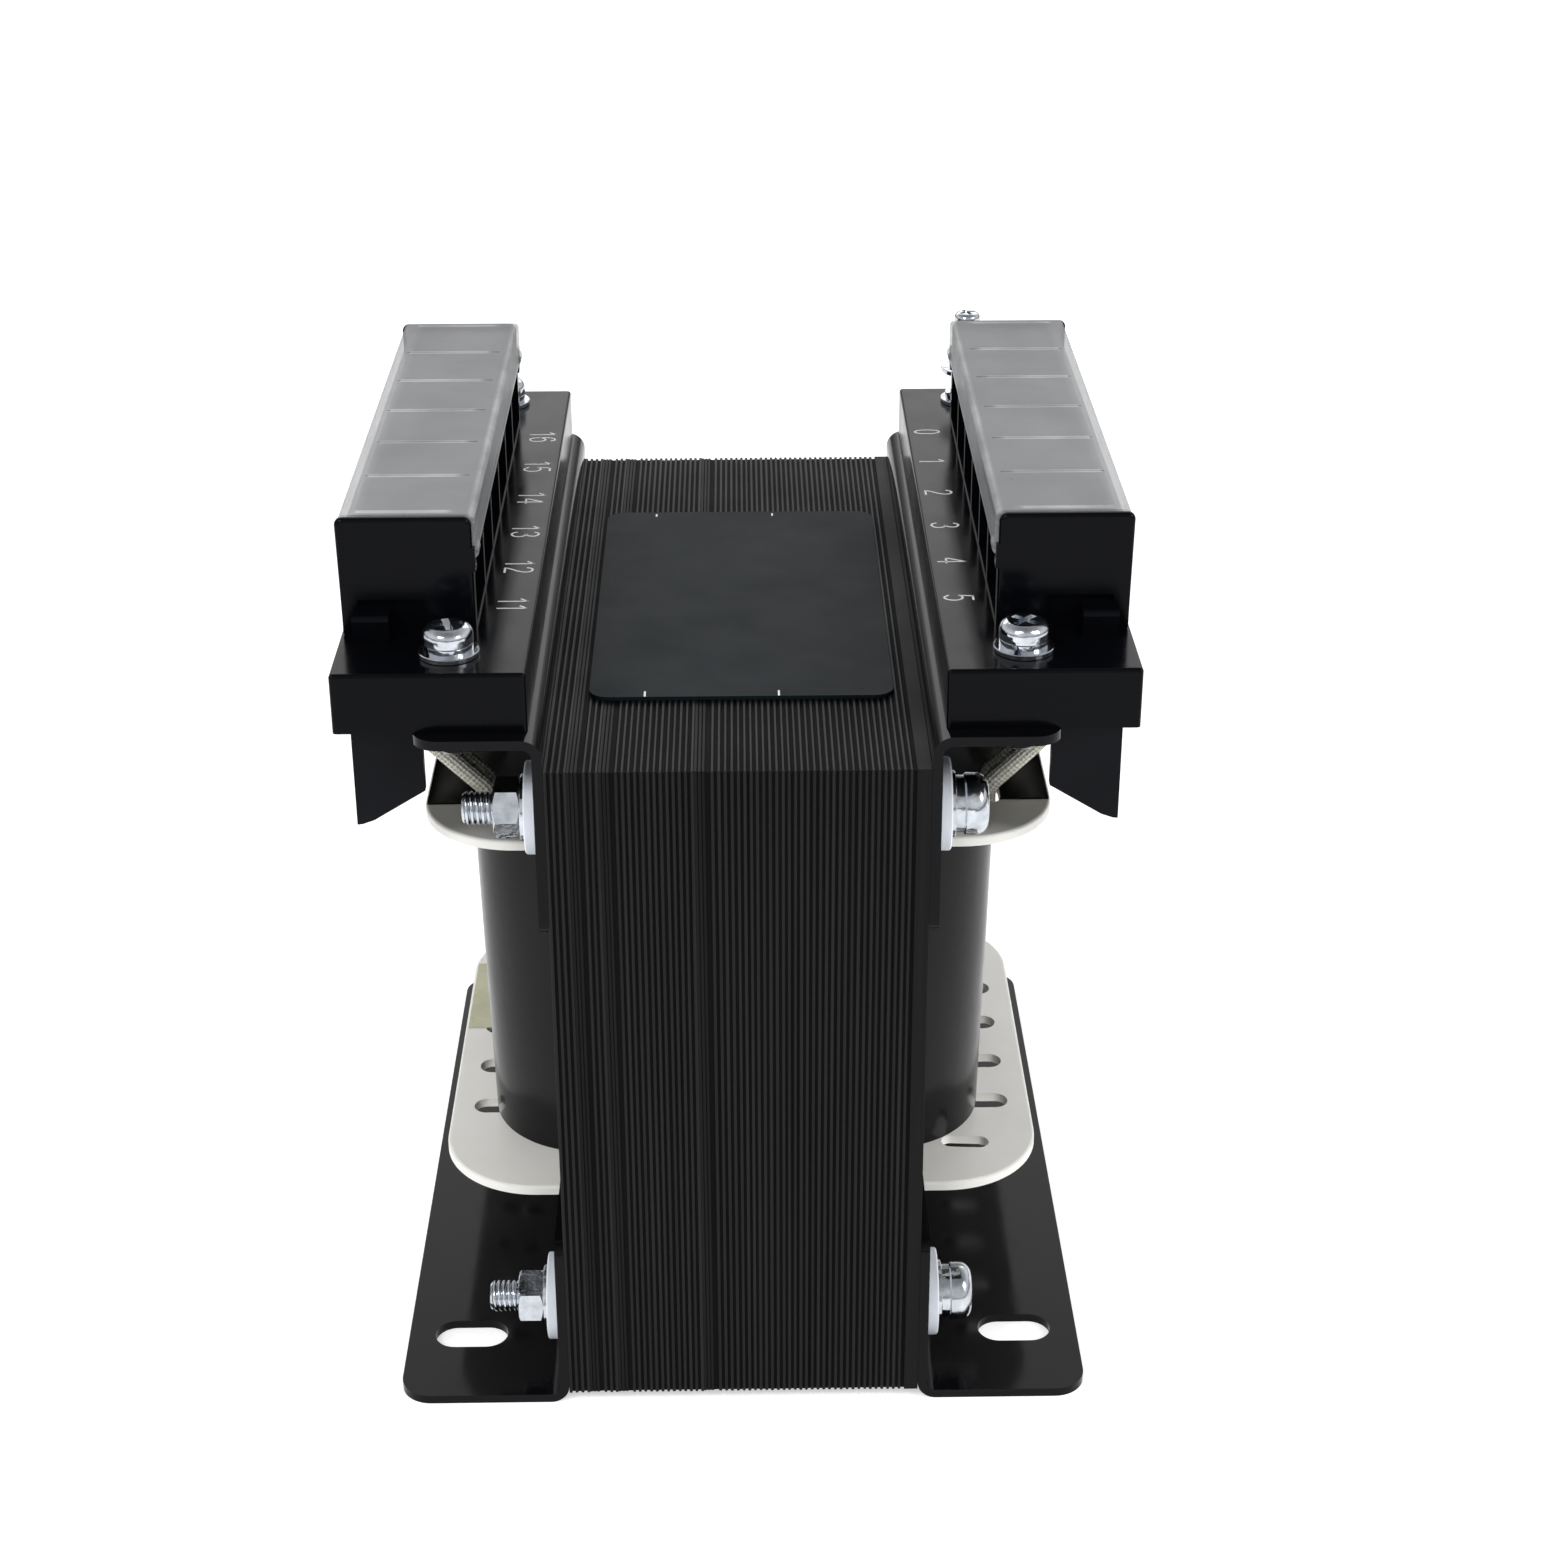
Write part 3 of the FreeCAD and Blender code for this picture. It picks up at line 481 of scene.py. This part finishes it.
def build_sleeves(sign, name):
    verts, faces, uvs = [], [], []
    seg = 28
    for y0, y1 in zip(LEAD_Y0, CELLS):
        cl = centre_line(y0, y1)
        base = len(verts)
        up = Vector((0, 1, 0))
        s = 0.0
        rings = []
        for i, p in enumerate(cl):
            t = (cl[min(i + 1, len(cl) - 1)] - cl[max(i - 1, 0)]).normalized()
            side = t.cross(up).normalized()
            nrm = side.cross(t).normalized()
            if i:
                s += (cl[i] - cl[i - 1]).length
            ring = []
            for k in range(seg):
                a = 2 * math.pi * k / seg
                ph = s * 1.55
                w = math.sin(math.pi * (ph + 7 * a / math.pi)) * math.sin(math.pi * (ph - 7 * a / math.pi))
                r = 1.44 + 0.05 * w
                q = p + side * (r * math.cos(a)) + nrm * (r * math.sin(a))
                ring.append(len(verts))
                verts.append((sign * q.x * MM, q.y * MM, q.z * MM))
            rings.append((ring, s))
        for i in range(len(rings) - 1):
            (r0, s0), (r1, s1) = rings[i], rings[i + 1]
            for k in range(seg):
                j = (k + 1) % seg
                f = [r0[k], r0[j], r1[j], r1[k]]
                u = [(s0 * MM, k / seg), (s0 * MM, (k + 1) / seg), (s1 * MM, (k + 1) / seg), (s1 * MM, k / seg)]
                if sign < 0:
                    f.reverse()
                    u.reverse()
                faces.append(f)
                uvs.extend(u)
        # turned-in ends
        for ring, flip in ((rings[0][0], True), (rings[-1][0], False)):
            c = cl[0] if flip else cl[-1]
            inner = []
            t = (cl[1] - cl[0]).normalized() if flip else (cl[-1] - cl[-2]).normalized()
            side = t.cross(up).normalized()
            nrm = side.cross(t).normalized()
            for k in range(seg):
                a = 2 * math.pi * k / seg
                q = c + side * (0.95 * math.cos(a)) + nrm * (0.95 * math.sin(a))
                inner.append(len(verts))
                verts.append((sign * q.x * MM, q.y * MM, q.z * MM))
            for k in range(seg):
                j = (k + 1) % seg
                f = [ring[k], inner[k], inner[j], ring[j]]
                if (not flip) != (sign < 0):
                    f.reverse()
                faces.append(f)
                uvs.extend([(0, 0), (0, 0.1), (0.001, 0.1), (0.001, 0)])
    o = new_obj(name, verts, faces, MATS["sleeve_woven"], True, uvs)
    return o


for sg, sd in ((1, "right"), (-1, "left")):
    o = build_sleeves(sg, "woven_sleeves_" + sd)
    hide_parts("lead_sleeves_" + sd)
    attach(o, ROOT)


# ---------------------------------------------------------------- screw threads
def thread(name, r_root, r_crest, pitch, length, place, body=ROOT, seg=36, taper=0.0):
    """a helical ridge round +Z from 0 to length, then set in place by a matrix"""
    turns = length / pitch
    prof = [(0.0, r_root), (0.30, r_crest - 0.02), (0.42, r_crest), (0.58, r_crest), (0.70, r_crest - 0.02), (1.0, r_root)]
    steps = int(turns * seg)
    verts, faces = [], []
    np_ = len(prof)
    for i in range(steps + 1):
        a = 2 * math.pi * i / seg
        z = pitch * i / seg - pitch * 0.5
        for f, r in prof:
            zz = z + f * pitch
            zc = min(max(zz, 0.0), length)
            rr = r
            if zz < 0 or zz > length:
                rr = r_root
            if taper and zc > length - taper:
                rr = min(rr, max(r_root - 0.05, r_crest - (zc - (length - taper)) * 0.9))
            verts.append(place @ Vector((rr * math.cos(a) * MM, rr * math.sin(a) * MM, zc * MM)))
    for i in range(steps):
        for k in range(np_ - 1):
            a0 = i * np_ + k
            faces.append([a0, a0 + np_, a0 + np_ + 1, a0 + 1])
    return verts, faces


def add_threads():
    verts, faces = [], []

    def put(v, f):
        b = len(verts)
        verts.extend(v)
        faces.extend([[b + i for i in q] for q in f])
    for y in (-55.5, 55.5):
        for z in (12.9, 101.7):
            m = Matrix.Translation(Vector((-36.3 * MM, y * MM, z * MM))) @ Matrix.Rotation(math.radians(-90), 4, "Y")
            put(*thread("t", 2.12, 2.49, 0.8, 4.58, m, taper=0.6))
    o = new_obj("bolt_threads", verts, faces, MATS["zinc_steel"], True)
    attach(o, ROOT)
    verts.clear()
    faces.clear()
    m = Matrix.Translation(Vector((41.5 * MM, 56.3 * MM, 133.55 * MM)))
    put(*thread("t", 1.68, 1.99, 0.7, 8.2, m))
    o = new_obj("earth_screw_thread", verts, faces, MATS["zinc_steel"], True)
    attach(o, ROOT)


add_threads()

# -------------------------------------------------------- numbers and plate ticks
ink = basic("white_print", (0.90, 0.91, 0.92), 0.5, 0.04, 300.0, 0.05, 0.1, 0.00002, 2000.0)
# strokes of the digits in a box 0.46 wide and 1 high; "c" is a curve through the points, "l" straight lines
STROKES = {
    "0": [("c", [(0.23, 1.0), (0.06, 0.86), (0.0, 0.5), (0.06, 0.14), (0.23, 0.0), (0.40, 0.14), (0.46, 0.5), (0.40, 0.86),
                 (0.23, 1.0)])],
    "1": [("l", [(0.06, 0.78), (0.27, 1.0), (0.27, 0.0)])],
    "2": [("c", [(0.02, 0.78), (0.08, 0.93), (0.23, 1.0), (0.39, 0.92), (0.44, 0.74), (0.36, 0.50), (0.16, 0.24),
                 (0.02, 0.0)]), ("l", [(0.02, 0.0), (0.46, 0.0)])],
    "3": [("c", [(0.02, 0.82), (0.10, 0.96), (0.24, 1.0), (0.40, 0.90), (0.42, 0.72), (0.34, 0.57), (0.18, 0.53)]),
          ("c", [(0.18, 0.53), (0.36, 0.49), (0.46, 0.32), (0.42, 0.10), (0.24, 0.0), (0.08, 0.05), (0.0, 0.20)])],
    "4": [("l", [(0.36, 0.0), (0.36, 1.0), (0.0, 0.30), (0.48, 0.30)])],
    "5": [("l", [(0.42, 1.0), (0.07, 1.0), (0.03, 0.52)]),
          ("c", [(0.03, 0.52), (0.16, 0.63), (0.32, 0.61), (0.45, 0.45), (0.45, 0.20), (0.33, 0.03), (0.18, 0.0),
                 (0.0, 0.16)])],
    "6": [("c", [(0.42, 0.84), (0.34, 0.97), (0.22, 1.0), (0.07, 0.88), (0.0, 0.55), (0.02, 0.22), (0.12, 0.03),
                 (0.26, 0.0), (0.42, 0.10), (0.46, 0.32), (0.40, 0.54), (0.24, 0.62), (0.08, 0.52), (0.01, 0.38)])],
}


def curve_through(pts, n=7):
    if pts[0] == pts[-1]:
        ext = [pts[-2]] + pts + [pts[1]]
    else:
        ext = [pts[0]] + pts + [pts[-1]]
    out = []
    for i in range(1, len(ext) - 2):
        p0, p1, p2, p3 = ext[i - 1:i + 3]
        for k in range(n):
            t = k / n
            out.append(tuple(0.5 * (2 * p1[j] + (p2[j] - p0[j]) * t + (2 * p0[j] - 5 * p1[j] + 4 * p2[j] - p3[j]) * t * t
                                    + (3 * p1[j] - p0[j] - 3 * p2[j] + p3[j]) * t ** 3) for j in (0, 1)))
    out.append(pts[-1])
    return out


def glyphs(text, name, cx, cy, z0, height, half=0.165):
    """printed digits: up is +X, the reading direction -Y; a ribbon 0.015 mm high"""
    verts, faces = [], []
    width = 0.46 * len(text) + 0.17 * (len(text) - 1)
    for i, ch in enumerate(text):
        off = -width / 2 + 0.63 * i
        for kind, pts in STROKES[ch]:
            pl = curve_through(pts) if kind == "c" else list(pts)
            pl = [((off + a) * height, (b - 0.5) * height) for a, b in pl]
            runs = [pl] if kind == "c" else [[pl[j], pl[j + 1]] for j in range(len(pl) - 1)]
            for run in runs:
                n = len(run)
                ring = []
                for j in range(n):
                    ax, ay = run[max(j - 1, 0)]
                    bx, by = run[min(j + 1, n - 1)]
                    d = math.hypot(bx - ax, by - ay) or 1.0
                    nx, ny = -(by - ay) / d, (bx - ax) / d
                    ex, ey = 0.0, 0.0
                    if kind == "l":
                        sgn = -1 if j == 0 else 1
                        ex, ey = sgn * (bx - ax) / d * half * 0.8, sgn * (by - ay) / d * half * 0.8
                    gx, gy = run[j]
                    b = len(verts)
                    for sd in (1, -1):
                        qx, qy = gx + ex + nx * half * sd, gy + ey + ny * half * sd
                        for z in (z0, z0 + 0.015):
                            verts.append(((cx + qy) * MM, (cy - qx) * MM, z * MM))
                    ring.append(b)
                for a, b in zip(ring, ring[1:]):
                    faces += [[a + 1, a + 3, b + 3, b + 1], [a, a + 1, b + 1, b], [a + 3, a + 2, b + 2, b + 3],
                              [a, b, b + 2, a + 2]]
                for a, fl in ((ring[0], True), (ring[-1], False)):
                    f = [a, a + 2, a + 3, a + 1]
                    faces.append(f if fl else f[::-1])
    o = new_obj(name, verts, faces, ink)
    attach(o, ROOT)
    return o


for i, y in enumerate(CELLS):
    glyphs(str(11 + i), "number_%d" % (11 + i), -33.6, y, 127.0, 4.3)
    glyphs(str(5 - i), "number_%d" % (5 - i), 33.55, y + 1.3, 127.0, 4.3)

tv, tf = [], []
for x in (-14.0, 6.3):
    for y0, y1 in ((34.4, 35.6), (-41.9, -40.0)):
        b = len(tv)
        for z in (113.402, 113.415):
            for px, py in ((x - 0.15, y0), (x + 0.15, y0), (x + 0.15, y1), (x - 0.15, y1)):
                tv.append((px * MM, py * MM, z * MM))
        tf += [[b + 3, b + 2, b + 1, b], [b + 4, b + 5, b + 6, b + 7], [b, b + 1, b + 5, b + 4],
               [b + 1, b + 2, b + 6, b + 5], [b + 2, b + 3, b + 7, b + 6], [b + 3, b, b + 4, b + 7]]
ticks = new_obj("plate_ticks", tv, tf, ink)
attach(ticks, ROOT)


# ------------------------------------------------------------ stage, light, lens
def floor_mat():
    m = Mat("pale_floor")
    n = m.noise(3.0, 3.0)
    m.to(m.ramp(n, [(0.3, (0.84, 0.84, 0.84)), (0.7, (0.86, 0.86, 0.86))]), "Base Color")
    m.to(m.rng(n, 0.75, 0.9, 0.3, 0.7), "Roughness")
    m.bump(n, 0.02, 0.0001)
    m.set(Emission_Color=(1.0, 1.0, 1.0, 1.0), Emission_Strength=0.52)
    return m.m


fl = new_obj("studio_floor", [(-6, -6, 0), (6, -6, 0), (6, 6, 0), (-6, 6, 0)], [[0, 1, 2, 3]], floor_mat())

world = bpy.data.worlds.new("studio") if not bpy.context.scene.world else bpy.context.scene.world
bpy.context.scene.world = world
world.use_nodes = True
wn = world.node_tree
bg = [n for n in wn.nodes if n.type == "BACKGROUND"][0]
bg.inputs[1].default_value = 1.0
w_tc = wn.nodes.new("ShaderNodeTexCoord")
w_sep = wn.nodes.new("ShaderNodeSeparateXYZ")
w_ramp = wn.nodes.new("ShaderNodeValToRGB")
wn.links.new(w_tc.outputs["Generated"], w_sep.inputs[0])
wn.links.new(w_sep.outputs[2], w_ramp.inputs[0])
wn.links.new(w_ramp.outputs[0], bg.inputs[0])
stops = [(0.0, 0.22), (0.10, 0.30), (0.24, 0.88), (0.52, 0.80), (0.75, 0.50), (1.0, 0.30)]
while len(w_ramp.color_ramp.elements) < len(stops):
    w_ramp.color_ramp.elements.new(0.5)
for e, (pos, v) in zip(w_ramp.color_ramp.elements, stops):
    e.position = pos
    e.color = (v, v, v * 1.01, 1.0)


def area(name, loc, target, size, power, size_y=None):
    li = bpy.data.lights.new(name, "AREA")
    li.shape = "RECTANGLE"
    li.size = size
    li.size_y = size_y or size
    li.energy = power
    o = bpy.data.objects.new(name, li)
    bpy.context.scene.collection.objects.link(o)
    o.location = loc
    d = Vector(target) - Vector(loc)
    o.rotation_euler = d.to_track_quat("-Z", "Y").to_euler()
    return o


area("key", (-0.60, -0.80, 1.05), (0, 0, 0.07), 0.35, 6.0)
area("fill", (0.80, -0.55, 0.75), (0, 0, 0.07), 0.35, 4.0)
area("back", (0.0, 1.60, 0.95), (0, 0, 0.10), 1.9, 5.5, 0.8)

cam = bpy.data.cameras.new("camera")
cam.sensor_width = 36.0
cam.sensor_fit = "HORIZONTAL"
cam.lens = 63.86
co = bpy.data.objects.new("camera", cam)
bpy.context.scene.collection.objects.link(co)
yaw, pitch, roll = math.radians(0.9653), math.radians(26.2687), math.radians(-0.0805)
fwd = Vector((math.sin(yaw) * math.cos(pitch), math.cos(yaw) * math.cos(pitch), -math.sin(pitch)))
rt = Vector((math.cos(yaw), -math.sin(yaw), 0.0))
upv = rt.cross(fwd)
r2 = rt * math.cos(roll) + upv * math.sin(roll)
u2 = upv * math.cos(roll) - rt * math.sin(roll)
M = Matrix((r2, u2, -fwd)).transposed().to_4x4()
M.translation = Vector((0.587, -424.923, 285.729 + 1.8)) * MM
co.matrix_world = M
cam.clip_start = 0.01
cam.clip_end = 50.0
bpy.context.scene.camera = co
vs = bpy.context.scene.view_settings
vs.view_transform = "Standard"
vs.look = "None"
